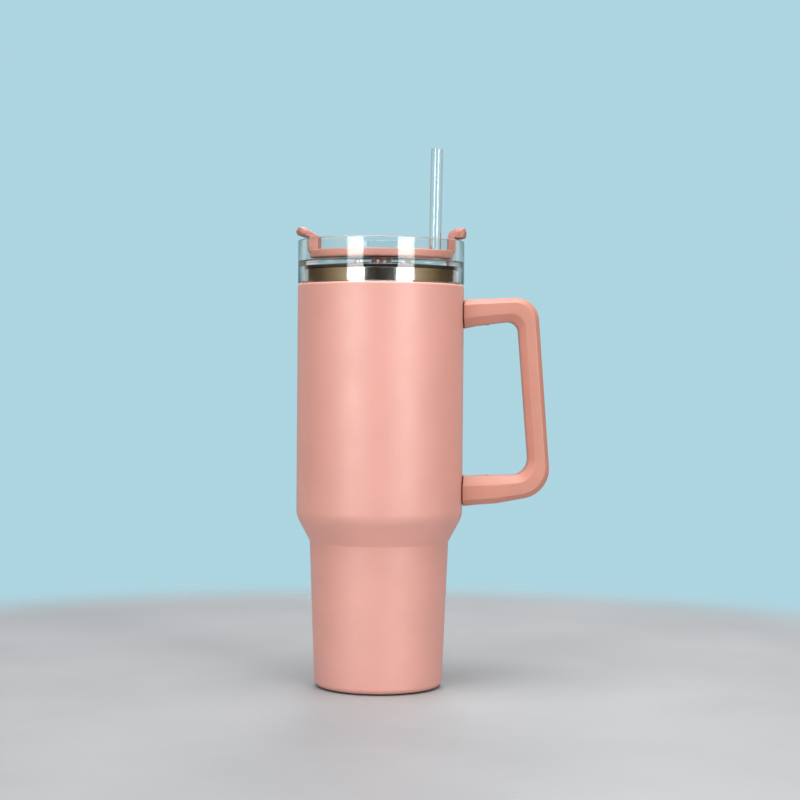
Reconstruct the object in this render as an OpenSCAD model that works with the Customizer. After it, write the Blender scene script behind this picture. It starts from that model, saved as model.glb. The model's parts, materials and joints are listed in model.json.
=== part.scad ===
// Insulated tumbler with a lift-off lid, a turning cover and a straw.
// Frame: +Z up, origin at the centre of the base, +X towards the handle.

/* [Cup] */
// Radius of the wide upper half
body_r = 50; // [48:0.5:52]
// Radius at the waist, where the shoulder meets the lower half
waist_r = 41.8; // [40:0.2:43]
// Radius of the lower half where its side would reach the ground
base_r = 38.4; // [37:0.2:40]
// Height of the waist
waist_z = 87.7; // [80:0.5:92]
// Height where the shoulder's slope would meet the upper half
shoulder_z = 103; // [99:0.5:105]
// Height of the painted shell
shell_top = 241.7; // [236:0.1:246]
// Radius of the bare steel neck
neck_r = 46.6; // [46:0.1:46.8]
// Height of the neck above the painted shell
neck_h = 8.9; // [8.5:0.1:9.1]
// Thickness of each steel wall
wall = 0.8; // [0.5:0.1:1]
// Inset from the shell's outside to the liner's outside
jacket = 4.4; // [3.5:0.1:4.6]

/* [Base] */
// Height of the shell's foot above the ground
foot_z = 0.8; // [0.5:0.1:1.2]
// Radius of the opening in the shell's turned-in foot
foot_hole_r = 32; // [28:0.5:33]
// Height of the liner's underside
liner_z = 11; // [9:0.5:14]

/* [Handle] */
// Width of the handle across the arms
handle_w = 21; // [19:0.5:23]
// Height of the upper bracket
upper_arm_z = 225.2; // [225:0.1:225.6]
// Height of the lower bracket
lower_arm_z = 118.6; // [118.2:0.1:119]
// Distance of the screws from the cup's axis
screw_x = 62; // [60:0.5:64]

/* [Lid] */
// Thickness of the clear skirt
skirt = 3; // [2.6:0.1:3.2]
// Height of the lid above its floor's underside
lid_h = 15.8; // [15:0.1:17]
// Thickness of the lid's floor
floor_t = 2.6; // [2.4:0.1:2.8]
// Thickness of the seal under the floor
seal_t = 1.6; // [1.2:0.1:1.8]
// Radius of the cover's pin
pin_r = 4.4; // [4:0.1:5]
// Running clearance of the cover's pin and of the straw
fit = 0.08; // [0.05:0.01:0.1]

/* [Cover] */
// Radius of the cover's disc
cover_r = 43; // [42:0.2:44]
// Thickness of the cover's disc
cover_t = 4.7; // [4.2:0.1:5]
// Gap between the lid's floor and the cover
cover_gap = 1.8; // [1.6:0.1:2]
// Angle that the cover turns through
cover_turn = 60; // [40:1:60]

/* [Straw] */
// Outer radius of the straw
straw_r = 3.6; // [3.4:0.1:3.7]
// Inner radius of the straw
straw_bore_r = 3; // [2.8:0.1:3.1]
// Distance of the straw from the cup's axis at the lid's floor
straw_x = 32.2; // [31.5:0.1:32.6]
// Lean of the straw away from the cup's axis
straw_lean = 0.8; // [0.6:0.1:1]
// Height of the straw's lower end
straw_bottom = 15.5; // [15:0.5:30]
// Height of the straw's upper end
straw_top = 323.9; // [300:0.1:330]

/* [Hidden] */
$fn = 96;

pink = [0.90, 0.62, 0.55];
steel = [0.72, 0.71, 0.69];
clear = [0.80, 0.88, 0.90, 0.45];
rubber = [0.12, 0.12, 0.12];
silicone = [0.85, 0.86, 0.88];

waist_round = 3;
shoulder_round = 16;
foot_round = 3.2;
lip_z = shell_top + neck_h;
floor_z = lip_z + seal_t;
floor_top = floor_z + floor_t;
lid_top = floor_z + lid_h;
lid_in_r = body_r - skirt;
lid_gap = 0.5;
liner_in = jacket + wall;
liner_r = body_r - liner_in;
plug_r = liner_r - 1;
plug_z = shell_top + 1.9;
plug_t = 2.8;
groove_t = 1.2;
groove_z = [plug_z + 2, plug_z + 6];
gasket_gap = 0.3;
cover_z = floor_top + cover_gap;
cover_top = cover_z + cover_t;
dish_z = cover_top - 1.2;
handle_gap = 0.5;
bend_steps = 8;
bracket_t = 1;
bracket_w = 15;
bracket_h = 12;
tongue = [20, 10, 7];
screw_r = 2;
screw_head = [3.4, 2];
seat = 4.4;
plug_from = 6.5;
sip_r = 34;
sip_w = 8;
sip_a = 14;
notch_a = 16.5;
slot_w = 8.4;
slot_a = 7.5;
stop_r = 18;
stop_w = 2.4;
stop_a = 6;
stop_gap = 0.4;
inner_chamfer = 0.33;
outer_chamfer = 0.2;
chamfer_y = 3.2;

// Radius of the lower half's side at height z
function side_r(z) = base_r + (waist_r - base_r) * z / waist_z;

function unit(v) = v / norm(v);
function short_turn(a) = a > 180 ? a - 360 : a < -180 ? a + 360 : a;

// Arc of radius r that rounds the corner b between a and c
function fillet(a, b, c, r, n) =
  let (u = unit(a - b), v = unit(c - b), h = acos(u * v) / 2)
  let (m = b + unit(u + v) * r / sin(h), p = b + u * r / tan(h), q = b + v * r / tan(h))
  let (from = atan2(p.y - m.y, p.x - m.x))
  let (sweep = short_turn(atan2(q.y - m.y, q.x - m.x) - from))
  [for (i = [0:n]) m + r * [cos(from + sweep * i / n), sin(from + sweep * i / n)]];

function flat(p) = [p.x, p.y];

// Outline through corners [x, y, radius]; a corner with no radius stays sharp
function rounded(c, n = 6) = [
  for (i = [0:len(c) - 1])
    let (a = flat(c[(i + len(c) - 1) % len(c)]), b = flat(c[i]), d = flat(c[(i + 1) % len(c)]))
    each (c[i][2] > 0 ? fillet(a, b, d, c[i][2], n) : [b])
];

module turned(corners) {
  rotate_extrude() polygon(rounded(corners));
}

module ring(r0, r1, z0, z1) {
  translate([0, 0, z0]) rotate_extrude() translate([r0, 0]) square([r1 - r0, z1 - z0]);
}

module post(r, z0, z1) {
  translate([0, 0, z0]) cylinder(r = r, h = z1 - z0);
}

// Bar along an arc about the cup's axis, from the angle a0 to a1
module arc_bar(r, w, a0, a1, z0, z1) {
  rotate([0, 0, a0]) rotate_extrude(angle = a1 - a0) translate([r - w / 2, z0]) square([w, z1 - z0]);
}

// ---- Cup ----

// Corners of the cup's side from the lower half to height z, inset by s
function side(s, z) = [
  [waist_r - s, waist_z, waist_round],
  [body_r - s, shoulder_z, shoulder_round],
  [body_r - s, z, 0]
];

function reversed(c) = [for (i = [len(c) - 1:-1:0]) c[i]];

module outer_shell() {
  color(pink) turned(concat(
    [[foot_hole_r, foot_z, 0], [side_r(foot_z), foot_z, foot_round]],
    [for (c = side(0, shell_top)) c.y == shell_top ? [c.x, c.y, 1.2] : c],
    [[neck_r, shell_top, 0], [neck_r, shell_top - wall, 0]],
    reversed(side(wall, shell_top - wall)),
    [[side_r(foot_z) - wall, foot_z + wall, foot_round - wall], [foot_hole_r, foot_z + wall, 0]]
  ));
}

module inner_liner() {
  floor_in = liner_z + wall;
  color(steel) turned(concat(
    [[0, liner_z, 0], [side_r(liner_z) - jacket, liner_z, 6]],
    side(jacket, shell_top - 3),
    [[neck_r, shell_top - 2, 0], [neck_r, lip_z, 0.8], [liner_r, lip_z, 0.8]],
    reversed([for (c = side(liner_in, 0)) if (c.y > 0) c]),
    [[side_r(floor_in) - liner_in, floor_in, 5.2], [0, floor_in, 0]]
  ));
}

module reflector_foil() {
  foil_t = 0.2;
  bottom = 20;
  top = shell_top - 6;
  color([0.75, 0.42, 0.28]) turned(concat(
    [[side_r(bottom) - jacket, bottom, 0], [side_r(bottom) - jacket + foil_t, bottom, 0]],
    side(jacket - foil_t, top),
    reversed(side(jacket, top))
  ));
}

seal_hole_r = 1.5;
plate_z = foot_z + wall;

module base_plate() {
  color(steel) ring(seal_hole_r, foot_hole_r + 3, plate_z, plate_z + wall);
}

module vacuum_seal() {
  top = plate_z + wall;
  color([0.35, 0.33, 0.30]) turned([
    [0, plate_z, 0], [seal_hole_r, plate_z, 0], [seal_hole_r, top, 0], [3.5, top, 0],
    [3.5, top + 1.3, 0.8], [0, top + 1.3, 0]
  ]);
}

getter_x = 16;
getter_r = 5.4;

module getter_clip() {
  lip = 0.4;
  color(steel) translate([getter_x, 0, 0]) turned([
    [getter_r, liner_z - 4, 0], [getter_r + lip, liner_z - 4, 0],
    [getter_r + lip, liner_z - lip, 0], [getter_r + 3, liner_z - lip, 0],
    [getter_r + 3, liner_z, 0], [getter_r, liner_z, 0]
  ]);
}

module getter_pellet() {
  color([0.3, 0.3, 0.32]) translate([getter_x, 0, 0]) turned([
    [0, liner_z - 3.6, 0], [getter_r, liner_z - 3.6, 0.4], [getter_r, liner_z - 0.2, 0.4],
    [0, liner_z - 0.2, 0]
  ]);
}

module base_pad() {
  rim = foot_hole_r + 3.2;
  color(rubber) turned([
    [0, 0, 0], [rim, 0, 0.3], [rim, foot_z, 0], [foot_hole_r, foot_z, 0],
    [foot_hole_r, plate_z, 0], [0, plate_z, 0]
  ]);
}

// ---- Handle ----

// The core reaches from one tongue's end round to the other's
core_x = body_r + tongue.x;

// Outer and inner outlines of the handle in the XZ plane, from its upper end to its lower end
handle_out = [
  [46, 233.2, 0], [core_x, 234.1, 0], [93.9, 235.1, 14], [102.9, 117.4, 18], [core_x, 111.2, 0],
  [46, 109.4, 0]
];
handle_in = [
  [46, 216.1, 0], [core_x, 219.3, 0], [82.5, 220.9, 6.5], [90.1, 128, 10], [core_x, 127.7, 0],
  [46, 127.3, 0]
];

// Points of an open outline, with its corners rounded
function open_path(c) = [
  for (i = [0:len(c) - 1])
    each (c[i][2] > 0
      ? fillet(flat(c[i - 1]), flat(c[i]), flat(c[i + 1]), c[i][2], bend_steps)
      : [flat(c[i])])
];

// Eight corners of the handle's section between an inner and an outer point,
// shrunk by s on every side
function section(p, q, s) =
  let (e = unit(q - p), full = norm(q - p) - 2 * s, w = handle_w / 2 - s)
  let (cy = chamfer_y * (1 - s / 8))
  let (levels = [0, inner_chamfer * full, (1 - outer_chamfer) * full, full])
  let (widths = [w - cy, w, w, w - cy])
  [for (k = [0, 1, 2, 3, 3, 2, 1, 0])
    let (at = p + e * (s + levels[k]))
    [at.x, 0, at.y, widths[k]]
  ];

// Eight-sided bar along the handle, from one station to another
module handle_bar(s, first, last) {
  p = open_path(handle_in);
  q = open_path(handle_out);
  points = [
    for (i = [first:last])
      let (ring = section(p[i], q[i], s))
      for (k = [0:7]) [ring[k].x, (k < 4 ? 1 : -1) * ring[k][3], ring[k].z]
  ];
  n = last - first;
  sides = [
    for (i = [0:n - 1], k = [0:7])
      let (a = 8 * i + k, b = 8 * i + (k + 1) % 8)
      each [[a, a + 8, b], [b, a + 8, b + 8]]
  ];
  ends = [for (k = [1:6]) each [[0, k, k + 1], [8 * n, 8 * n + k + 1, 8 * n + k]]];
  polyhedron(points = points, faces = concat(sides, ends));
}

module tongue_space(z, gap) {
  translate([body_r - 1, -tongue.y / 2 - gap, z - tongue.z / 2 - gap])
    cube([tongue.x + 1 + gap, tongue.y + 2 * gap, tongue.z + 2 * gap]);
}

module bracket(z) {
  color(steel) difference() {
    union() {
      intersection() {
        ring(body_r, body_r + bracket_t, z - bracket_h / 2, z + bracket_h / 2);
        translate([0, -bracket_w / 2, 0]) cube([body_r + 10, bracket_w, lip_z]);
      }
      difference() {
        tongue_space(z, 0);
        post(body_r + bracket_t / 2, z - bracket_h, z + bracket_h);
      }
    }
    translate([screw_x, 0, 0]) post(screw_r, z - bracket_h, z + bracket_h);
  }
}

module upper_bracket() {
  bracket(upper_arm_z);
}

module lower_bracket() {
  bracket(lower_arm_z);
}

// Space for a bracket and its screw; dir is the side of the arm the screw goes in from
module bracket_space(z, dir) {
  gap = 0.3;
  tongue_space(z, gap);
  post_r = body_r + bracket_t + gap;
  intersection() {
    post(post_r, z - bracket_h / 2 - gap, z + bracket_h / 2 + gap);
    translate([0, -bracket_w / 2 - gap, 0]) cube([body_r + 10, bracket_w + 2 * gap, lip_z]);
  }
  translate([screw_x, 0, z]) mirror([0, 0, dir < 0 ? 1 : 0]) {
    post(screw_r + 0.2, 0, seat);
    post(screw_head.x + 0.2, seat, 14);
  }
}

module handle() {
  last = len(open_path(handle_in)) - 1;
  color(pink) difference() {
    handle_bar(0, 0, last);
    handle_bar(2.8, 1, last - 1);
    post(body_r + handle_gap, 90, shell_top);
    bracket_space(upper_arm_z, -1);
    bracket_space(lower_arm_z, 1);
  }
}

module handle_core() {
  last = len(open_path(handle_in)) - 1;
  color([0.35, 0.33, 0.33]) handle_bar(2.8, 1, last - 1);
}

// Screw that points from the gap inside the handle into a bracket
module arm_screw(z, dir) {
  color(steel) translate([screw_x, 0, z]) mirror([0, 0, dir < 0 ? 1 : 0]) difference() {
    union() {
      post(screw_r, -3, seat);
      post(screw_head.x, seat, seat + screw_head.y);
    }
    post(socket_r, seat + 0.8, seat + 3);
  }
}

module upper_screw() {
  arm_screw(upper_arm_z, -1);
}

module lower_screw() {
  arm_screw(lower_arm_z, 1);
}

// Cap over a screw's head, up to the arm's face at distance top from the bracket
module arm_plug(z, dir, top) {
  r = screw_head.x + 0.2;
  color(pink) translate([screw_x, 0, z]) mirror([0, 0, dir < 0 ? 1 : 0])
    turned([[0, plug_from, 0], [r, plug_from, 0], [r, top, 0.3], [0, top, 0]]);
}

module upper_plug() {
  arm_plug(upper_arm_z, -1, 7);
}

module lower_plug() {
  arm_plug(lower_arm_z, 1, 8.8);
}

// ---- Lid ----

boss_r = 7;
boss_top = cover_z - 0.3;
grommet_r = 4.4;

module lid_body() {
  plug_in = plug_r - plug_t;
  bore_r = pin_r + fit;
  color(clear) {
    difference() {
      turned([
        [bore_r, floor_z, 0], [bore_r, boss_top, 0], [boss_r, boss_top, 0.4], [boss_r, floor_top, 0],
        [lid_in_r, floor_top, 0.8], [lid_in_r, lid_top, 0.5], [body_r, lid_top, 0.7],
        [body_r, shell_top + lid_gap, 0.6], [lid_in_r, shell_top + lid_gap, 0.4],
        [lid_in_r, floor_z, 0], [plug_r, floor_z, 0], [plug_r, groove_z[1], 0],
        [plug_r - groove_t, groove_z[1], 0], [plug_r - groove_t, groove_z[0], 0],
        [plug_r, groove_z[0], 0], [plug_r, plug_z, 0.6], [plug_in, plug_z, 0.6], [plug_in, floor_z, 0]
      ]);
      arc_bar(sip_r, sip_w, 90 - sip_a, 90 + sip_a, floor_z - 1, floor_top + 1);
      translate([straw_x, 0, 0]) post(grommet_r, floor_z - 1, floor_top + 1);
    }
    arc_bar(stop_r, stop_w, 180 - stop_a, 180 + stop_a, floor_top - 0.2, cover_z + 1.2);
  }
}

module lid_gasket() {
  lobe = 1.5;
  mid = (groove_z[0] + groove_z[1]) / 2;
  tip = liner_r - gasket_gap;
  color(silicone) turned([
    [plug_r - groove_t, groove_z[0], 0], [plug_r - 0.2, groove_z[0], 0],
    [tip, mid - lobe + 0.4, 0.3], [plug_r, mid, 0.3], [tip, mid + lobe - 0.4, 0.3],
    [plug_r - 0.2, groove_z[1], 0], [plug_r - groove_t, groove_z[1], 0]
  ]);
}

module lip_seal() {
  color(rubber) ring(liner_r - 0.4, neck_r + 0.3, lip_z, floor_z);
}

module straw_space(gap) {
  translate([straw_x, 0, floor_z]) rotate([0, straw_lean, 0])
    post(straw_r + gap, straw_bottom - floor_z - 10, 20);
}

module straw_grommet() {
  under = [6, floor_z - 1.2];
  over = [6.2, floor_top + 1.1];
  color(silicone) difference() {
    translate([straw_x, 0, 0]) turned([
      [0, under.y, 0], [under.x, under.y, 0.4], [under.x, floor_z, 0], [grommet_r, floor_z, 0],
      [grommet_r, floor_top, 0], [over.x, floor_top, 0], [over.x, over.y, 0.5], [0, over.y, 0]
    ]);
    straw_space(fit);
  }
}

// ---- Cover ----

// Ear of the cover: a bar that climbs inside the skirt and hooks over the rim.
// outline is in radius and height, a is half its angle and w half the width of its top
module ear(outline, a, w) {
  foot_w = body_r * sin(a);
  top = lid_top + 9;
  intersection() {
    rotate([0, 0, -a]) rotate_extrude(angle = 2 * a) polygon(rounded(outline));
    rotate([90, 0, 90]) linear_extrude(height = body_r + 10) polygon(rounded([
      [-foot_w, cover_z - 2, 0], [foot_w, cover_z - 2, 0], [foot_w, lid_top + 2, 2],
      [w, top, 3], [-w, top, 3], [-foot_w, lid_top + 2, 2]
    ]));
  }
}

right_ear = [
  [38, cover_z + 1.5, 0], [42.6, cover_z + 1.5, 0], [44.8, cover_z + 4.6, 2],
  [44.8, lid_top + 3.4, 0.4], [48.6, lid_top + 3.2, 0.6], [50.9, lid_top + 2.2, 0.4],
  [51.3, lid_top + 5.6, 0.6], [50.4, lid_top + 8.1, 0.8], [45.6, lid_top + 8.1, 2.5],
  [40.9, lid_top + 5.6, 1.5], [40.9, cover_top - 0.2, 2.4], [38, cover_top - 0.4, 0]
];
left_ear = [
  [38.9, cover_z + 1.5, 0], [42.2, cover_z + 1.5, 0], [44.4, cover_z + 4.6, 2],
  [44.4, lid_top + 1.9, 0.5], [50.6, lid_top + 3.6, 0.8], [51.4, lid_top + 5.4, 0.8],
  [50.2, lid_top + 7.6, 1.2], [46.6, lid_top + 7.6, 2.5], [38.9, lid_top + 2.8, 2.5]
];

module rotating_cover() {
  notch_from = 90 - cover_turn - notch_a;
  stop_to = stop_a + 1.3;
  color(pink) difference() {
    union() {
      turned([
        [0, floor_z - 0.1, 0], [pin_r, floor_z - 0.1, 0.3], [pin_r, cover_z, 0],
        [cover_r, cover_z, 1.2], [cover_r, cover_top, 1], [cover_r - 3.5, cover_top, 0.5],
        [cover_r - 4.3, dish_z, 0.4], [0, dish_z, 0]
      ]);
      ear(right_ear, 11, 7);
      rotate([0, 0, 180]) ear(left_ear, 18, 9);
    }
    arc_bar(straw_x, slot_w, -cover_turn - slot_a, slot_a, cover_z - 1, cover_top + 1);
    arc_bar(cover_r, 2 * (cover_r - sip_r + 5), notch_from, notch_from + 2 * notch_a,
      cover_z - 1, cover_top + 1);
    arc_bar(stop_r, stop_w + 2 * stop_gap, 180 - stop_to - cover_turn, 180 + stop_to,
      cover_z - 1, cover_z + 1.8);
    post(screw_r, floor_z - 1, cover_z + 1);
  }
}

module cover_seal() {
  color(silicone) arc_bar(sip_r, sip_w + 3, 90 - sip_a - 2, 90 + sip_a + 2, floor_top + 0.2, cover_z);
}

washer_r = 7.5;
washer_t = 1.2;
washer_top = floor_z - 0.1;
pivot_head = [3.8, 1.8];
socket_r = 1.5;

module pivot_washer() {
  color(silicone) ring(screw_r, washer_r, washer_top - washer_t, washer_top);
}

module pivot_screw() {
  head_top = washer_top - washer_t;
  color(steel) difference() {
    union() {
      post(screw_r, head_top, cover_z + 0.6);
      post(pivot_head.x, head_top - pivot_head.y, head_top);
    }
    post(socket_r, head_top - 3, head_top - 0.8);
  }
}

// ---- Straw ----

module straw() {
  low = (straw_bottom - floor_z) / cos(straw_lean);
  high = (straw_top - floor_z) / cos(straw_lean);
  color(clear) translate([straw_x, 0, floor_z]) rotate([0, straw_lean, 0])
    ring(straw_bore_r, straw_r, low, high);
}

outer_shell();
inner_liner();
base_plate();
vacuum_seal();
getter_clip();
getter_pellet();
reflector_foil();
base_pad();
upper_bracket();
lower_bracket();
handle();
handle_core();
upper_screw();
lower_screw();
upper_plug();
lower_plug();
lid_body();
lid_gasket();
lip_seal();
straw_grommet();
rotating_cover();
cover_seal();
pivot_washer();
pivot_screw();
straw();
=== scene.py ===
import json
import math

import bmesh
import bpy
from mathutils import Matrix, Vector


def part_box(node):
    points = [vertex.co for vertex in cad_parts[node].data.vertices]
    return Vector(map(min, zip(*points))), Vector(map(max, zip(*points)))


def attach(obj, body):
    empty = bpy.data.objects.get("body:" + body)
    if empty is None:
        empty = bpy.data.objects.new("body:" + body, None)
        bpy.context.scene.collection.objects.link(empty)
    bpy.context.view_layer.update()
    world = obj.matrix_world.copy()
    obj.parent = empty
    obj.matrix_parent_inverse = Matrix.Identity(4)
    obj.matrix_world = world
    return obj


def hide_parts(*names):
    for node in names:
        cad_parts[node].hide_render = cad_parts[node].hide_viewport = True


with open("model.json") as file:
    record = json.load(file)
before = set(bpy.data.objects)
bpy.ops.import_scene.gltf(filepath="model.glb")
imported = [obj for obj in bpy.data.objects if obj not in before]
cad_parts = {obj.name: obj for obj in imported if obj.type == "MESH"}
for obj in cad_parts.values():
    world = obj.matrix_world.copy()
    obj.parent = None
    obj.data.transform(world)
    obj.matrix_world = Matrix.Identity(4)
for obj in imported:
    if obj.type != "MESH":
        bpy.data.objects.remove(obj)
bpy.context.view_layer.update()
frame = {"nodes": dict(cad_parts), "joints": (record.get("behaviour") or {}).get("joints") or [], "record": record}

MM = 0.001
SEGMENTS = 192
SHARP_DEG = 35


# ---------------------------------------------------------------- sizes, from the frame

def low(node):
    """The lowest corner of a node's box."""
    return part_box(node)[0]


def high(node):
    """The highest corner of a node's box."""
    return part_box(node)[1]


BODY_R = high("outer_shell").x
SHELL_TOP = high("outer_shell").z
FOOT_Z = low("outer_shell").z
NECK_R = high("inner_liner").x
LIP_Z = high("inner_liner").z
LINER_Z = low("inner_liner").z
FLOOR_Z = high("lip_seal").z
LID_TOP = high("lid_body").z
LID_LOW = low("lid_body").z
COVER_Z = high("cover_seal").z
PAD_R = high("base_pad").x
STRAW_TOP = high("straw").z
STRAW_LOW = low("straw").z

# The cup's side, as in the CAD model
WAIST_R = 41.8 * MM
BASE_R = 38.4 * MM
WAIST_Z = 87.7 * MM
SHOULDER_Z = 103 * MM
WALL = 0.8 * MM
JACKET = 4.4 * MM
FOOT_HOLE_R = 32 * MM
INNER_R = BODY_R - JACKET - WALL
NECK_FIT = 0.02 * MM

# The lid: skirt, floor, plug wall inside the cup's mouth, and boss round the cover's pin
SKIRT = 3 * MM
FLOOR_TOP = FLOOR_Z + 2.6 * MM
PLUG_LOW = SHELL_TOP + 1.9 * MM
PLUG_GAP = 1 * MM
PLUG_WALL = 2.8 * MM
GASKET_DEPTH = 1.2 * MM
PIN_FIT = 0.08 * MM
PIN_R = 4.4 * MM
BOSS_R = 7 * MM
SIP_R = 34 * MM
SIP_WIDTH = 8 * MM
SIP_DEG = 90
SIP_HALF_DEG = 7

# The cover, its stop rib on the lid, and the openings that turn with it
TURN = next(j for j in frame["joints"] if j["name"] == "cover_turn")["range_deg"][1]
COVER_R = 43 * MM
COVER_TOP = COVER_Z + 4.7 * MM
STOP_R = 18 * MM
STOP_WIDTH = 2.4 * MM
STOP_DEG = 180
STOP_HALF_DEG = 3
GROOVE_WIDTH = 3.2 * MM
NOTCH_R = (29 * MM, 46 * MM)
NOTCH_HALF_DEG = 16.5

# The straw, the hole that holds its sleeve, and the cover's slot that clears it
STRAW_R = 3.6 * MM
STRAW_BORE = 3 * MM
STRAW_X = 32.2 * MM
STRAW_LEAN = math.radians(0.8)
SLEEVE_R = 4.4 * MM
SLOT_WIDTH = 8.4 * MM


# ---------------------------------------------------------------- outlines

def fillet(a, b, c, radius, steps):
    """Points of the arc that rounds the corner b between a and c."""
    u = (a - b).normalized()
    v = (c - b).normalized()
    half = math.acos(max(-1.0, min(1.0, u.dot(v)))) / 2
    middle = b + (u + v).normalized() * radius / math.sin(half)
    start = b + u * radius / math.tan(half) - middle
    end = b + v * radius / math.tan(half) - middle
    first = math.atan2(start.y, start.x)
    sweep = math.remainder(math.atan2(end.y, end.x) - first, 2 * math.pi)
    turns = [first + sweep * i / steps for i in range(steps + 1)]
    return [middle + radius * Vector((math.cos(t), math.sin(t))) for t in turns]


def rounded(corners, steps=8, closed=True):
    """An outline through corners (x, y, radius)."""
    flat = [Vector(c[:2]) for c in corners]
    count = len(corners)
    points = []
    for i, (x, y, radius) in enumerate(corners):
        inner = closed or 0 < i < count - 1
        if radius > 0 and inner:
            points += fillet(flat[i - 1], flat[i], flat[(i + 1) % count], radius, steps)
        else:
            points.append(flat[i])
    return points


def polar(radius, turn):
    """The point at a radius and a turn, in radians, about the origin."""
    return Vector((math.cos(turn), math.sin(turn))) * radius


def arc_slot(radius, width, start_deg, end_deg):
    """Outline of a slot with round ends along an arc about the axis."""
    steps = 24
    a0, a1 = math.radians(start_deg), math.radians(end_deg)
    half = width / 2
    arc = [a0 + (a1 - a0) * i / steps for i in range(steps + 1)]
    cap = [math.pi * i / steps for i in range(1, steps)]
    points = [polar(radius + half, t) for t in arc]
    points += [polar(radius, a1) + polar(half, a1 + t) for t in cap]
    points += [polar(radius - half, t) for t in reversed(arc)]
    points += [polar(radius, a0) + polar(half, a0 + math.pi + t) for t in cap]
    return points


# ---------------------------------------------------------------- meshes

def finish_mesh(name, bm, sharp_deg=SHARP_DEG):
    """An object from a bmesh, smooth except at edges sharper than sharp_deg."""
    bmesh.ops.recalc_face_normals(bm, faces=bm.faces)
    mesh = bpy.data.meshes.new(name)
    bm.to_mesh(mesh)
    bm.free()
    mesh.shade_smooth()
    mesh.set_sharp_from_angle(angle=math.radians(sharp_deg))
    piece = bpy.data.objects.new(name, mesh)
    bpy.context.scene.collection.objects.link(piece)
    return piece


def lathe(name, outline, segments=SEGMENTS):
    """A solid of revolution about Z from a closed outline of (radius, height)."""
    bm = bmesh.new()
    rings = []
    for r, z in outline:
        if r < 1e-7:
            rings.append([bm.verts.new((0, 0, z))])
            continue
        turns = [2 * math.pi * k / segments for k in range(segments)]
        rings.append([bm.verts.new((r * math.cos(t), r * math.sin(t), z)) for t in turns])
    for a, b in zip(rings, rings[1:] + rings[:1]):
        for k in range(segments):
            n = (k + 1) % segments
            loop = [a[k % len(a)], a[n % len(a)], b[n % len(b)], b[k % len(b)]]
            loop = list(dict.fromkeys(loop))
            if len(loop) > 2:
                bm.faces.new(loop)
    return finish_mesh(name, bm)


def prism(name, outline, z0, z1):
    """A straight prism on an outline in the XY plane."""
    bm = bmesh.new()
    bottom = [bm.verts.new((p.x, p.y, z0)) for p in outline]
    top = [bm.verts.new((p.x, p.y, z1)) for p in outline]
    bm.faces.new(bottom[::-1])
    bm.faces.new(top)
    for k in range(len(outline)):
        n = (k + 1) % len(outline)
        bm.faces.new([bottom[k], bottom[n], top[n], top[k]])
    return finish_mesh(name, bm)


def disc_outline(x, y, radius):
    """A circle's outline in the XY plane."""
    steps = 64
    turns = [2 * math.pi * k / steps for k in range(steps)]
    return [Vector((x + radius * math.cos(t), y + radius * math.sin(t))) for t in turns]


def combine(piece, tool, operation):
    """Applies an exact boolean of piece with tool, and removes tool."""
    modifier = piece.modifiers.new("combine", "BOOLEAN")
    modifier.operation = operation
    modifier.solver = "EXACT"
    modifier.object = tool
    bpy.context.view_layer.update()
    graph = bpy.context.evaluated_depsgraph_get()
    mesh = bpy.data.meshes.new_from_object(piece.evaluated_get(graph))
    piece.modifiers.clear()
    piece.data = mesh
    mesh.shade_smooth()
    mesh.set_sharp_from_angle(angle=math.radians(SHARP_DEG))
    bpy.data.objects.remove(tool)


def cut(piece, tool):
    """Cuts tool out of piece, and removes tool."""
    combine(piece, tool, "DIFFERENCE")


def soften(piece, width):
    """Rounds a piece's sharp edges."""
    bevel = piece.modifiers.new("soft_edges", "BEVEL")
    bevel.width = width
    bevel.segments = 3
    bevel.limit_method = "ANGLE"
    bevel.angle_limit = math.radians(40)
    bevel.harden_normals = True


def settle(piece, body, slot, node):
    """Gives a piece its slot's material and its body, in place of the CAD node."""
    piece.data.materials.clear()
    piece.data.materials.append(MATERIALS[slot])
    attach(piece, body)
    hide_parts(node)


# ---------------------------------------------------------------- material building blocks

def new_material(name, colour, roughness, **values):
    """A Principled material. values are extra sockets, with _ for a space."""
    material = bpy.data.materials.new(name)
    material.use_nodes = True
    shader = material.node_tree.nodes["Principled BSDF"]
    shader.inputs["Base Color"].default_value = (*colour, 1)
    shader.inputs["Roughness"].default_value = roughness
    for key, value in values.items():
        shader.inputs[key.replace("_", " ")].default_value = value
    return material


def add(material, kind, **values):
    """A new shader node with its own settings."""
    node = material.node_tree.nodes.new(kind)
    for key, value in values.items():
        setattr(node, key, value)
    return node


def link(material, a, b):
    material.node_tree.links.new(a, b)


def noise(material, scale, detail=3.0, rough=0.5, stretch=(1, 1, 1), vector=None):
    """Noise in the piece's own coordinates, in metres. scale is in features per metre."""
    texture = add(material, "ShaderNodeTexNoise")
    texture.inputs["Scale"].default_value = scale
    texture.inputs["Detail"].default_value = detail
    texture.inputs["Roughness"].default_value = rough
    if vector is None:
        coordinates = add(material, "ShaderNodeTexCoord")
        mapping = add(material, "ShaderNodeMapping")
        mapping.inputs["Scale"].default_value = stretch
        link(material, coordinates.outputs["Object"], mapping.inputs["Vector"])
        vector = mapping.outputs["Vector"]
    link(material, vector, texture.inputs["Vector"])
    return texture.outputs["Fac"]


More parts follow.
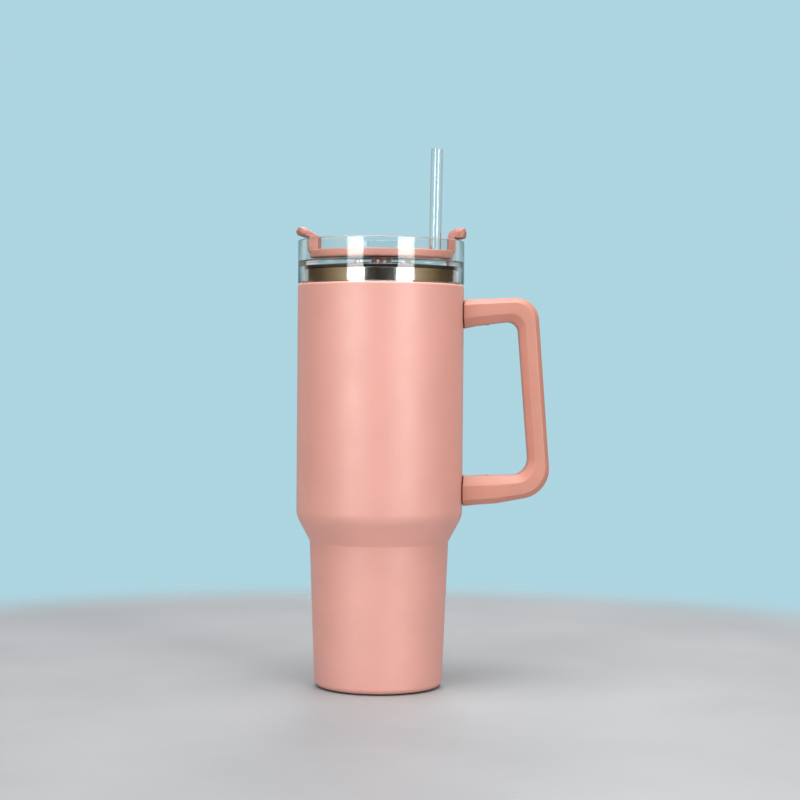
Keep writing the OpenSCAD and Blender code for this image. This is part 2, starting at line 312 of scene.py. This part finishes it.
def turning_vector(material):
    """(radius, height, 0): noise on it makes fine lines round the axis, as a lathe leaves."""
    coordinates = add(material, "ShaderNodeTexCoord")
    split = add(material, "ShaderNodeSeparateXYZ")
    plane = add(material, "ShaderNodeCombineXYZ")
    length = add(material, "ShaderNodeVectorMath", operation="LENGTH")
    joined = add(material, "ShaderNodeCombineXYZ")
    link(material, coordinates.outputs["Object"], split.inputs[0])
    link(material, split.outputs["X"], plane.inputs["X"])
    link(material, split.outputs["Y"], plane.inputs["Y"])
    link(material, plane.outputs[0], length.inputs[0])
    link(material, length.outputs["Value"], joined.inputs["X"])
    link(material, split.outputs["Z"], joined.inputs["Y"])
    return joined.outputs[0]


def ramp(material, fac, stops):
    """A colour ramp from (position, grey or colour) stops."""
    node = add(material, "ShaderNodeValToRGB")
    elements = node.color_ramp.elements
    while len(elements) < len(stops):
        elements.new(0.5)
    for element, (position, value) in zip(elements, stops):
        element.position = position
        element.color = (*value, 1) if isinstance(value, tuple) else (value, value, value, 1)
    link(material, fac, node.inputs["Fac"])
    return node.outputs["Color"]


def blend_colours(material, fac, a, b, mode="MIX"):
    """Mixes a and b, each a socket or a value."""
    node = add(material, "ShaderNodeMix", data_type="RGBA", blend_type=mode)
    for socket, value in ((node.inputs["Factor"], fac), (node.inputs[6], a), (node.inputs[7], b)):
        if isinstance(value, (int, float)):
            socket.default_value = value
        elif isinstance(value, tuple):
            socket.default_value = (*value, 1)
        else:
            link(material, value, socket)
    return node.outputs[2]


def colour_from(material, colour):
    link(material, colour, material.node_tree.nodes["Principled BSDF"].inputs["Base Color"])


def roughness_from(material, value):
    link(material, value, material.node_tree.nodes["Principled BSDF"].inputs["Roughness"])


def bumps(material, layers):
    """Chains bumps, each (height socket, strength, distance in metres)."""
    normal = None
    for height, strength, distance in layers:
        bump = add(material, "ShaderNodeBump")
        bump.inputs["Strength"].default_value = strength
        bump.inputs["Distance"].default_value = distance
        link(material, height, bump.inputs["Height"])
        if normal is not None:
            link(material, normal, bump.inputs["Normal"])
        normal = bump.outputs["Normal"]
    link(material, normal, material.node_tree.nodes["Principled BSDF"].inputs["Normal"])


def tinted(colour, factor):
    """A colour made darker or lighter by a factor."""
    return tuple(min(1.0, c * factor) for c in colour)


# ---------------------------------------------------------------- materials

def powder_coat():
    """Matt powder coat: orange peel about 0.8 mm across, fine grit and faint clouds."""
    pink = (0.70, 0.327, 0.27)
    m = new_material("powder_coat", pink, 0.5, Specular_IOR_Level=0.95)
    clouds = noise(m, 35, 2)
    grit = noise(m, 2600, 2)
    cloudy = ramp(m, clouds, [(0.3, tinted(pink, 0.965)), (0.7, tinted(pink, 1.03))])
    speckle = ramp(m, grit, [(0.35, 0.93), (0.65, 1.0)])
    colour_from(m, blend_colours(m, 1.0, cloudy, speckle, "MULTIPLY"))
    roughness_from(m, ramp(m, noise(m, 60, 4), [(0.3, 0.42), (0.7, 0.50)]))
    bumps(m, [(noise(m, 1100, 2), 0.25, 0.00012), (grit, 0.25, 0.00004)])
    return m


def bare_steel():
    """Stainless steel with fine turning lines: a polished neck, and a satin cup inside it."""
    steel = (0.60, 0.575, 0.54)
    m = new_material("bare_steel", steel, 0.16, Metallic=1.0)
    lines = noise(m, 5200, 3, 0.6, vector=turning_vector(m))
    broad = noise(m, 420, 2, 0.5, vector=turning_vector(m))
    smears = noise(m, 70, 3)
    colour_from(m, ramp(m, broad, [(0.3, tinted(steel, 0.93)), (0.7, tinted(steel, 1.05))]))
    both = blend_colours(m, 0.45, lines, smears)
    across = add(m, "ShaderNodeSeparateXYZ")
    link(m, turning_vector(m), across.inputs[0])
    lip = ((INNER_R + 0.4 * MM, 0.0), (INNER_R + 0.8 * MM, 1.0))
    outside = ramp(m, across.outputs["X"], lip)
    satin = ramp(m, both, [(0.3, 0.38), (0.7, 0.48)])
    polished = ramp(m, both, [(0.3, 0.04), (0.7, 0.13)])
    roughness_from(m, blend_colours(m, outside, satin, polished))
    bumps(m, [(lines, 0.10, 0.00002)])
    return m


def moulded(name, colour, roughness):
    """Moulded plastic with a fine spark-eroded grain and faint flow clouds."""
    m = new_material(name, colour, roughness, Specular_IOR_Level=0.5)
    clouds = noise(m, 45, 3)
    colour_from(m, ramp(m, clouds, [(0.3, tinted(colour, 0.96)), (0.7, tinted(colour, 1.03))]))
    smears = noise(m, 130, 4)
    roughness_from(m, ramp(m, smears, [(0.3, roughness - 0.04), (0.7, roughness + 0.05)]))
    bumps(m, [(noise(m, 2400, 2), 0.2, 0.00004)])
    return m


def clear_plastic(name, tint, waviness):
    """Clear plastic with slight flow waves, which lets lamps through to what is behind it."""
    m = new_material(name, tint, 0.015, Transmission_Weight=1.0, IOR=1.49)
    shader = m.node_tree.nodes["Principled BSDF"]
    output = m.node_tree.nodes["Material Output"]
    waves = noise(m, 90, 2, stretch=(1, 1, 0.4))
    bumps(m, [(waves, waviness, 0.0002)])
    roughness_from(m, ramp(m, noise(m, 300, 4), [(0.45, 0.01), (0.75, 0.05)]))
    through = add(m, "ShaderNodeBsdfTransparent")
    through.inputs["Color"].default_value = (*tinted(tint, 0.97), 1)
    path = add(m, "ShaderNodeLightPath")
    mixed = add(m, "ShaderNodeMixShader")
    link(m, path.outputs["Is Shadow Ray"], mixed.inputs["Fac"])
    link(m, shader.outputs[0], mixed.inputs[1])
    link(m, through.outputs[0], mixed.inputs[2])
    link(m, mixed.outputs[0], output.inputs["Surface"])
    return m


def soft_seal(name, colour, roughness, **values):
    """Silicone or rubber: matt, with a dusty bloom and a fine moulded grain."""
    m = new_material(name, colour, roughness, IOR=1.41, **values)
    bloom = noise(m, 160, 4)
    colour_from(m, ramp(m, bloom, [(0.35, tinted(colour, 0.85)), (0.75, tinted(colour, 1.2))]))
    roughness_from(m, ramp(m, bloom, [(0.3, roughness - 0.08), (0.7, roughness + 0.08)]))
    bumps(m, [(noise(m, 1800, 2), 0.3, 0.00005)])
    return m


def copper_foil():
    """Copper foil with the creases that wrapping leaves."""
    copper = (0.83, 0.40, 0.24)
    m = new_material("copper_foil", copper, 0.25, Metallic=1.0)
    creases = noise(m, 120, 5, 0.65)
    # The colour follows the creases' bump: it is painted darker where the creases dip, which is painted shade in
    # the creases.
    colour_from(m, ramp(m, creases, [(0.3, tinted(copper, 0.8)), (0.7, copper)]))
    bumps(m, [(creases, 0.5, 0.0004)])
    return m


def granular(name, colour, roughness, metallic, scale):
    """Pressed or sintered grains."""
    m = new_material(name, colour, roughness, Metallic=metallic)
    grains = noise(m, scale, 5, 0.7)
    # The same noise gives the bumps and the colour. Besides the grains' own varied tone, it paints the hollows
    # between the grains darker and their tops lighter, which is painted shade and painted light.
    colour_from(m, ramp(m, grains, [(0.35, tinted(colour, 0.6)), (0.65, tinted(colour, 1.3))]))
    bumps(m, [(grains, 0.5, 0.0002)])
    return m


MATERIALS = {
    "powder_coat": powder_coat(),
    "bare_steel": bare_steel(),
    "handle_plastic": moulded("handle_plastic", (0.53, 0.23, 0.17), 0.4),
    "cover_plastic": moulded("cover_plastic", (0.40, 0.157, 0.118), 0.36),
    "core_plastic": granular("core_plastic", (0.20, 0.19, 0.19), 0.6, 0.0, 900),
    "clear_plastic": clear_plastic("clear_plastic", (0.955, 0.985, 0.99), 0.06),
    "straw_plastic": clear_plastic("straw_plastic", (0.985, 0.995, 0.995), 0.001),
    "silicone": soft_seal("silicone", (0.72, 0.73, 0.78), 0.4, Transmission_Weight=0.35),
    "black_seal": soft_seal("black_seal", (0.008, 0.008, 0.009), 0.8, Specular_IOR_Level=0.1),
    "pad_rubber": soft_seal("pad_rubber", (0.035, 0.03, 0.03), 0.7),
    "copper": copper_foil(),
    "getter": granular("getter", (0.16, 0.16, 0.18), 0.8, 0.3, 2500),
    "solder": granular("solder", (0.30, 0.29, 0.27), 0.5, 0.7, 700),
}


# ---------------------------------------------------------------- cup

def side_r(z):
    """Radius of the lower half's side at height z."""
    return BASE_R + (WAIST_R - BASE_R) * z / WAIST_Z


def side(inset, top):
    """Corners of the cup's side from the waist up, moved inwards by an inset."""
    return [
        (WAIST_R - inset, WAIST_Z, 3 * MM),
        (BODY_R - inset, SHOULDER_Z, 16 * MM),
        (BODY_R - inset, top, 0),
    ]


def painted_shell():
    """The painted outer wall, turned in round the neck and under the foot."""
    outer = side(0, SHELL_TOP)
    outer[-1] = (BODY_R, SHELL_TOP, 1.2 * MM)
    corners = [
        (FOOT_HOLE_R, FOOT_Z, 0),
        (side_r(FOOT_Z), FOOT_Z, 3.2 * MM),
        *outer,
        (NECK_R + NECK_FIT, SHELL_TOP, 0.3 * MM),
        (NECK_R + NECK_FIT, SHELL_TOP - WALL, 0),
        *reversed(side(WALL, SHELL_TOP - WALL)),
        (side_r(FOOT_Z) - WALL, FOOT_Z + WALL, 2.4 * MM),
        (FOOT_HOLE_R, FOOT_Z + WALL, 0),
    ]
    piece = lathe("painted_shell", rounded(corners, 12))
    settle(piece, "cup", "powder_coat", "outer_shell")


def steel_liner():
    """The bare inner cup with its neck folded outwards and down to the shell."""
    lip_round = 0.85 * MM
    inset = JACKET + WALL
    floor_in = LINER_Z + WALL
    inner = side(inset, LIP_Z)
    inner[-1] = (BODY_R - inset, LIP_Z, lip_round)
    corners = [
        (0, LINER_Z, 0),
        (side_r(LINER_Z) - JACKET, LINER_Z, 6 * MM),
        *side(JACKET, SHELL_TOP - 3 * MM),
        (NECK_R, SHELL_TOP - 2 * MM, 0),
        (NECK_R, LIP_Z, lip_round),
        *reversed(inner),
        (side_r(floor_in) - inset, floor_in, 5.2 * MM),
        (0, floor_in, 0),
    ]
    piece = lathe("steel_liner", rounded(corners, 12))
    settle(piece, "cup", "bare_steel", "inner_liner")


def non_slip_pad():
    """The pad under the foot, with moulded grip rings on its underside."""
    ring_pitch = 5
    grip_ring = ((0, 0), (0.3, 0.35), (1.3, 0.35), (1.6, 0))
    corners = [(0, 0, 0)]
    for radius in range(10, 32, ring_pitch):
        for r, z in grip_ring:
            corners.append(((radius + r) * MM, z * MM, 0))
    top = high("base_pad").z
    corners += [
        (PAD_R, 0, 0.3 * MM),
        (PAD_R, FOOT_Z, 0),
        (FOOT_HOLE_R, FOOT_Z, 0),
        (FOOT_HOLE_R, top, 0),
        (0, top, 0),
    ]
    piece = lathe("non_slip_pad", rounded(corners, 4))
    settle(piece, "cup", "pad_rubber", "base_pad")


# ---------------------------------------------------------------- handle

HANDLE_HALF = 10.5 * MM
CHAMFER_Y = 3.2 * MM
INNER_CHAMFER = 0.33
OUTER_CHAMFER = 0.2
EDGE_ROUND = 0.9 * MM
END_DEPTH = 2.5 * MM
END_GAP = 0.8 * MM
END_EDGE_GAP = 1.1 * MM
PLUG_FIT = 0.2 * MM

# Outlines in the XZ plane from the upper end to the lower: x, z and rounding in mm
HANDLE_OUT = [
    (46, 233.2, 0), (70, 234.1, 0), (93.9, 235.1, 14), (102.9, 117.4, 18), (70, 111.2, 0),
    (46, 109.4, 0),
]
HANDLE_IN = [
    (46, 216.1, 0), (70, 219.3, 0), (82.5, 220.9, 6.5), (90.1, 128, 10), (70, 127.7, 0),
    (46, 127.3, 0),
]


def handle_path(corners):
    """The outline's points in metres, with three more between each two."""
    points = rounded([tuple(v * MM for v in c) for c in corners], 14, closed=False)
    dense = []
    for a, b in zip(points, points[1:]):
        dense += [a.lerp(b, k / 4) for k in range(4)]
    return dense + [points[-1]]


def handle_section(inner, outer):
    """The eight-sided section between two points of the outlines, as (point, y) corners."""
    along = (outer - inner).normalized()
    depth = (outer - inner).length
    narrow = HANDLE_HALF - CHAMFER_Y
    chamfer_in, chamfer_out = INNER_CHAMFER * depth, (1 - OUTER_CHAMFER) * depth
    corners = [
        (0, -narrow), (0, narrow), (chamfer_in, HANDLE_HALF), (chamfer_out, HANDLE_HALF),
        (depth, narrow), (depth, -narrow), (chamfer_out, -HANDLE_HALF), (chamfer_in, -HANDLE_HALF),
    ]
    outline = rounded([(x, y, EDGE_ROUND) for x, y in corners], 4)
    return [(inner + along * p.x, p.y) for p in outline]


def on_cup(y, gap):
    """Distance from the YZ plane to the cup's side plus a gap."""
    return math.sqrt((BODY_R + gap) ** 2 - y * y)


def end_rings(ring):
    """Rings that close an arm's end: a rim along the cup's side, and a hollow inside it."""
    middle_z = sum(p.y for p, _ in ring) / len(ring)
    steps = (
        (1, END_EDGE_GAP), (0.97, END_GAP), (0.9, END_GAP), (0.87, END_DEPTH), (0.4, END_DEPTH),
    )
    rings = []
    for size, gap in steps:
        rings.append([
            Vector((on_cup(y * size, gap), y * size, middle_z + (p.y - middle_z) * size))
            for p, y in ring
        ])
    return rings, Vector((on_cup(0, END_DEPTH), 0, middle_z))


def grip_handle():
    """The chamfered handle, with holes for the caps over its screws."""
    stations = [handle_section(p, q)
                for p, q in zip(handle_path(HANDLE_IN), handle_path(HANDLE_OUT))]
    clear = [s for s in stations if min(p.x for p, _ in s) > BODY_R + 3 * MM]
    first, first_middle = end_rings(stations[0])
    last, last_middle = end_rings(stations[-1])
    rings = first[::-1] + [[Vector((p.x, y, p.y)) for p, y in s] for s in clear] + last
    bm = bmesh.new()
    loops = [[bm.verts.new(v) for v in ring] for ring in rings]
    size = len(loops[0])
    for a, b in zip(loops, loops[1:]):
        for k in range(size):
            n = (k + 1) % size
            bm.faces.new([a[k], a[n], b[n], b[k]])
    for loop, middle in ((loops[0], first_middle), (loops[-1], last_middle)):
        centre = bm.verts.new(middle)
        for k in range(size):
            bm.faces.new([loop[k], loop[(k + 1) % size], centre])
    piece = finish_mesh("grip_handle", bm, 30)
    for plug in ("upper_plug", "lower_plug"):
        lo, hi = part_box(plug)
        x, radius = (lo.x + hi.x) / 2, (hi.x - lo.x) / 2 + PLUG_FIT
        upper = plug == "upper_plug"
        z0 = lo.z - 3 * MM if upper else lo.z
        z1 = hi.z if upper else hi.z + 3 * MM
        cut(piece, prism("hole", disc_outline(x, 0, radius), z0, z1))
    settle(piece, "cup", "handle_plastic", "handle")


# ---------------------------------------------------------------- lid

def clear_lid():
    """The clear lid, with the sip opening, the straw's hole and the cover's stop rib."""
    inner_r = BODY_R - SKIRT
    plug_r = INNER_R - PLUG_GAP
    plug_in = plug_r - PLUG_WALL
    groove_r = plug_r - GASKET_DEPTH
    groove = (PLUG_LOW + 2 * MM, PLUG_LOW + 6 * MM)
    boss_top = COVER_Z - 0.3 * MM
    bore_r = PIN_R + PIN_FIT
    corners = [
        (bore_r, FLOOR_Z, 0), (bore_r, boss_top, 0.2 * MM), (BOSS_R, boss_top, 0.4 * MM),
        (BOSS_R, FLOOR_TOP, 0.3 * MM), (inner_r, FLOOR_TOP, 0.8 * MM),
        (inner_r, LID_TOP, 0.5 * MM), (BODY_R, LID_TOP, 0.7 * MM),
        (BODY_R, LID_LOW, 0.6 * MM), (inner_r, LID_LOW, 0.5 * MM), (inner_r, FLOOR_Z, 0.3 * MM),
        (plug_r, FLOOR_Z, 0), (plug_r, groove[1], 0), (groove_r, groove[1], 0),
        (groove_r, groove[0], 0), (plug_r, groove[0], 0), (plug_r, PLUG_LOW, 0.6 * MM),
        (plug_in, PLUG_LOW, 0.6 * MM), (plug_in, FLOOR_Z, 0.4 * MM),
    ]
    piece = lathe("clear_lid", rounded(corners, 8))
    below, above = FLOOR_Z - 1 * MM, FLOOR_TOP + 1 * MM
    sip = arc_slot(SIP_R, SIP_WIDTH, SIP_DEG - SIP_HALF_DEG, SIP_DEG + SIP_HALF_DEG)
    cut(piece, prism("sip", sip, below, above))
    cut(piece, prism("hole", disc_outline(STRAW_X, 0, SLEEVE_R), below, above))
    stop = arc_slot(STOP_R, STOP_WIDTH, STOP_DEG - STOP_HALF_DEG, STOP_DEG + STOP_HALF_DEG)
    combine(piece, prism("stop", stop, FLOOR_TOP - 0.4 * MM, COVER_Z + 1.2 * MM), "UNION")
    settle(piece, "lid", "clear_plastic", "lid_body")


def ear(name, corners, half_deg, end_deg, turn_deg):
    """A finger ear that climbs inside the skirt and hooks over the rim, rounded at its ends."""
    outline = rounded([(r * MM, z, e * MM) for r, z, e in corners], 6)
    hook_z = LID_TOP + 1.7 * MM
    arm_r = 44.4 * MM
    end_scale = 0.45
    steps = 28
    bm = bmesh.new()
    loops = []
    for i in range(steps + 1):
        at = half_deg * (2 * i / steps - 1)
        over = max(0.0, (abs(at) - (half_deg - end_deg)) / end_deg)
        keep = end_scale + (1 - end_scale) * math.sqrt(max(0.0, 1 - over * over))
        t = math.radians(at + turn_deg)
        loop = []
        for r, z in outline:
            r_at = arm_r + (r - arm_r) * keep if r > arm_r else r
            z_at = hook_z + (z - hook_z) * keep if z > hook_z else z
            loop.append(bm.verts.new((r_at * math.cos(t), r_at * math.sin(t), z_at)))
        loops.append(loop)
    for a, b in zip(loops, loops[1:]):
        for k in range(len(outline)):
            n = (k + 1) % len(outline)
            bm.faces.new([a[k], a[n], b[n], b[k]])
    bm.faces.new(loops[0])
    bm.faces.new(loops[-1][::-1])
    return finish_mesh(name, bm)


def notch_outline():
    """The sector that opens over the sip opening once the cover is turned."""
    middle = math.radians(SIP_DEG - TURN)
    half = math.radians(NOTCH_HALF_DEG)
    near, far = NOTCH_R
    wide = half * 0.97
    corners = []
    for r, t, radius in ((near, -half, 3), (far, -wide, 0), (far, wide, 0), (near, half, 3)):
        corner = polar(r, middle + t)
        corners.append((corner.x, corner.y, radius * MM))
    return rounded(corners, 8)


def turning_cover():
    """The dished cover on its pin, with two ears, the slot, the notch and the stop's groove."""
    pin_low = FLOOR_Z - 0.1 * MM
    dish = COVER_TOP - 1.2 * MM
    root = COVER_Z + 1.5 * MM
    corners = [
        (2 * MM, COVER_Z + 0.9 * MM, 0), (2 * MM, pin_low, 0), (PIN_R, pin_low, 0.3 * MM),
        (PIN_R, COVER_Z, 0.2 * MM), (COVER_R, COVER_Z, 1.2 * MM), (COVER_R, COVER_TOP, 1 * MM),
        (COVER_R - 3.5 * MM, COVER_TOP, 0.5 * MM), (COVER_R - 4.3 * MM, dish, 0.4 * MM),
        (0, dish, 0), (0, COVER_Z + 0.9 * MM, 0),
    ]
    piece = lathe("turning_cover", rounded(corners, 8))
    # The ears' sections: radius in mm, height in metres, rounding in mm
    right = [
        (38, root, 0), (42.6, root, 0), (44.8, COVER_Z + 4.6 * MM, 2),
        (44.8, LID_TOP + 3.4 * MM, 0.4), (48.6, LID_TOP + 3.2 * MM, 0.6),
        (50.9, LID_TOP + 2.2 * MM, 0.5), (51.3, LID_TOP + 5.6 * MM, 0.7),
        (50.4, LID_TOP + 8.1 * MM, 0.9), (45.6, LID_TOP + 8.1 * MM, 2.5),
        (40.9, LID_TOP + 5.6 * MM, 1.5), (40.9, COVER_TOP - 0.2 * MM, 2.4),
        (38, COVER_TOP - 0.4 * MM, 0),
    ]
    left = [
        (38.9, root, 0), (42.2, root, 0), (44.4, COVER_Z + 4.6 * MM, 2),
        (44.4, LID_TOP + 1.9 * MM, 0.5), (50.6, LID_TOP + 3.6 * MM, 0.8),
        (51.4, LID_TOP + 5.4 * MM, 0.8), (50.2, LID_TOP + 7.6 * MM, 1.2),
        (46.6, LID_TOP + 7.6 * MM, 2.5), (38.9, LID_TOP + 2.8 * MM, 2.5),
    ]
    combine(piece, ear("right_ear", right, 11, 4, 0), "UNION")
    combine(piece, ear("left_ear", left, 18, 8, 180), "UNION")
    below, above = COVER_Z - 1 * MM, COVER_TOP + 1 * MM
    cut(piece, prism("slot", arc_slot(STRAW_X, SLOT_WIDTH, -TURN, 0), below, above))
    cut(piece, prism("notch", notch_outline(), below, above))
    groove_from = STOP_DEG - STOP_HALF_DEG - TURN
    groove = arc_slot(STOP_R, GROOVE_WIDTH, groove_from, STOP_DEG + STOP_HALF_DEG)
    cut(piece, prism("groove", groove, below, COVER_Z + 1.8 * MM))
    soften(piece, 0.35 * MM)
    settle(piece, "cover", "cover_plastic", "rotating_cover")


def drinking_straw():
    """A straight tube with rounded ends, leaning outwards from the lid's hole."""
    low_end = (STRAW_LOW - FLOOR_Z) / math.cos(STRAW_LEAN)
    high_end = (STRAW_TOP - FLOOR_Z) / math.cos(STRAW_LEAN)
    edge = 0.3 * MM
    outline = rounded([
        (STRAW_BORE, low_end, edge), (STRAW_R, low_end, edge),
        (STRAW_R, high_end, edge), (STRAW_BORE, high_end, edge),
    ], 6)
    piece = lathe("drinking_straw", outline, 64)
    lean = Matrix.Translation((STRAW_X, 0, FLOOR_Z)) @ Matrix.Rotation(STRAW_LEAN, 4, "Y")
    piece.data.transform(lean)
    settle(piece, "straw", "straw_plastic", "straw")


# ---------------------------------------------------------------- carried-over CAD nodes

def finish_cad_nodes():
    """Gives every CAD node the material of its slot."""
    slots = {s["node"]: s["material_slot"] for s in frame["record"]["subparts"]}
    for name, node in frame["nodes"].items():
        node.data.materials.clear()
        node.data.materials.append(MATERIALS[slots[name]])


# ---------------------------------------------------------------- stage, light and camera

AIM_Z = 0.16
FLOOR_EDGE = 0.9
FLOOR_FADE = (0.38, 0.56)
BACKDROP = (0.42, 0.665, 0.75)
AMBIENT = (0.30, 0.30, 0.31)
# What mirrors see, from straight in front (0) round to straight behind (1)
REFLECTIONS = [
    (0.00, (0.030, 0.022, 0.015)), (0.10, (0.05, 0.036, 0.024)), (0.19, (0.56, 0.41, 0.23)),
    (0.35, (0.36, 0.25, 0.13)), (0.55, (0.13, 0.085, 0.044)), (0.80, (0.08, 0.052, 0.03)),
    (0.82, (0.66, 0.66, 0.63)), (0.89, (0.58, 0.64, 0.65)), (0.92, (0.30, 0.46, 0.51)),
]


def floor():
    """A pale round floor that fades out into the backdrop."""
    bm = bmesh.new()
    bmesh.ops.create_circle(bm, cap_ends=True, segments=128, radius=FLOOR_EDGE)
    piece = finish_mesh("floor", bm)
    m = new_material("floor", (0.6, 0.6, 0.61), 0.6)
    clouds = noise(m, 9, 4)
    colour_from(m, ramp(m, clouds, [(0.3, (0.32, 0.324, 0.333)), (0.7, (0.36, 0.364, 0.373))]))
    bumps(m, [(noise(m, 240, 4), 0.2, 0.0004)])
    coordinates = add(m, "ShaderNodeTexCoord")
    distance = add(m, "ShaderNodeVectorMath", operation="LENGTH")
    fade = add(m, "ShaderNodeMapRange", interpolation_type="SMOOTHSTEP")
    fade.inputs["From Min"].default_value = FLOOR_FADE[1]
    fade.inputs["From Max"].default_value = FLOOR_FADE[0]
    link(m, coordinates.outputs["Object"], distance.inputs[0])
    link(m, distance.outputs["Value"], fade.inputs["Value"])
    link(m, fade.outputs[0], m.node_tree.nodes["Principled BSDF"].inputs["Alpha"])
    piece.data.materials.append(m)


def softbox(name, azimuth_deg, distance, height, size, power):
    """A rectangular lamp aimed at the cup's middle. Azimuth 0 is the camera's side."""
    light = bpy.data.lights.new(name, "AREA")
    light.shape = "RECTANGLE"
    light.size, light.size_y = size
    light.energy = power
    lamp = bpy.data.objects.new(name, light)
    t = math.radians(azimuth_deg)
    lamp.location = (distance * math.sin(t), -distance * math.cos(t), height)
    aim = Vector((0, 0, AIM_Z)) - lamp.location
    lamp.rotation_euler = aim.to_track_quat("-Z", "Y").to_euler()
    bpy.context.scene.collection.objects.link(lamp)


def surroundings():
    """A pale blue backdrop that lights evenly. Mirrors see a dark room in front, bright behind."""
    world = bpy.data.worlds.new("surroundings")
    bpy.context.scene.world = world
    world.use_nodes = True
    nodes, links = world.node_tree.nodes, world.node_tree.links
    path = nodes.new("ShaderNodeLightPath")
    coordinates = nodes.new("ShaderNodeTexCoord")
    split = nodes.new("ShaderNodeSeparateXYZ")
    links.new(coordinates.outputs["Generated"], split.inputs[0])

    rearward = nodes.new("ShaderNodeMapRange")
    rearward.inputs["From Min"].default_value = -1
    links.new(split.outputs["Y"], rearward.inputs["Value"])
    reflected = nodes.new("ShaderNodeValToRGB")
    elements = reflected.color_ramp.elements
    while len(elements) < len(REFLECTIONS):
        elements.new(0.5)
    for element, (position, colour) in zip(elements, REFLECTIONS):
        element.position = position
        element.color = (*colour, 1)
    links.new(rearward.outputs[0], reflected.inputs["Fac"])
    mirrored = nodes.new("ShaderNodeMath")
    mirrored.operation = "MINIMUM"
    mirrored.inputs[1].default_value = 1
    links.new(path.outputs["Glossy Depth"], mirrored.inputs[0])

    def choose(factor, a, b):
        mix = nodes.new("ShaderNodeMix")
        mix.data_type = "RGBA"
        links.new(factor, mix.inputs["Factor"])
        for socket, value in ((mix.inputs[6], a), (mix.inputs[7], b)):
            if isinstance(value, tuple):
                socket.default_value = (*value, 1)
            else:
                links.new(value, socket)
        return mix.outputs[2]

    seen = choose(mirrored.outputs[0], BACKDROP, reflected.outputs["Color"])
    colour = choose(path.outputs["Is Diffuse Ray"], seen, AMBIENT)
    links.new(colour, nodes["Background"].inputs["Color"])


def studio():
    """Two strips in front, one lamp above and a fill behind."""
    softbox("left_strip", -35.2, 1.5, 0.40, (0.60, 0.72), 9.6)
    softbox("right_strip", 35.2, 1.5, 0.40, (0.62, 0.72), 10)
    softbox("top_light", 5, 0.3, 1.35, (1.2, 0.9), 21)
    softbox("back_fill", 170, 1.3, 1.1, (0.9, 0.7), 7)
    surroundings()


def camera():
    """Below the lid's height, looking a little down, with a slight roll."""
    place = (0.0120, -1.0926, 0.1893)
    pitch, roll = math.radians(0.873), math.radians(0.454)
    data = bpy.data.cameras.new("camera")
    data.lens = 81.5
    data.sensor_width = 36
    eye = bpy.data.objects.new("camera", data)
    eye.matrix_world = (
        Matrix.Translation(place)
        @ Matrix.Rotation(math.pi / 2 - pitch, 4, "X")
        @ Matrix.Rotation(roll, 4, "Z")
    )
    bpy.context.scene.collection.objects.link(eye)
    bpy.context.scene.camera = eye
    bpy.context.scene.view_settings.view_transform = "Standard"


camera()
studio()
floor()
finish_cad_nodes()
painted_shell()
steel_liner()
non_slip_pad()
grip_handle()
clear_lid()
turning_cover()
drinking_straw()
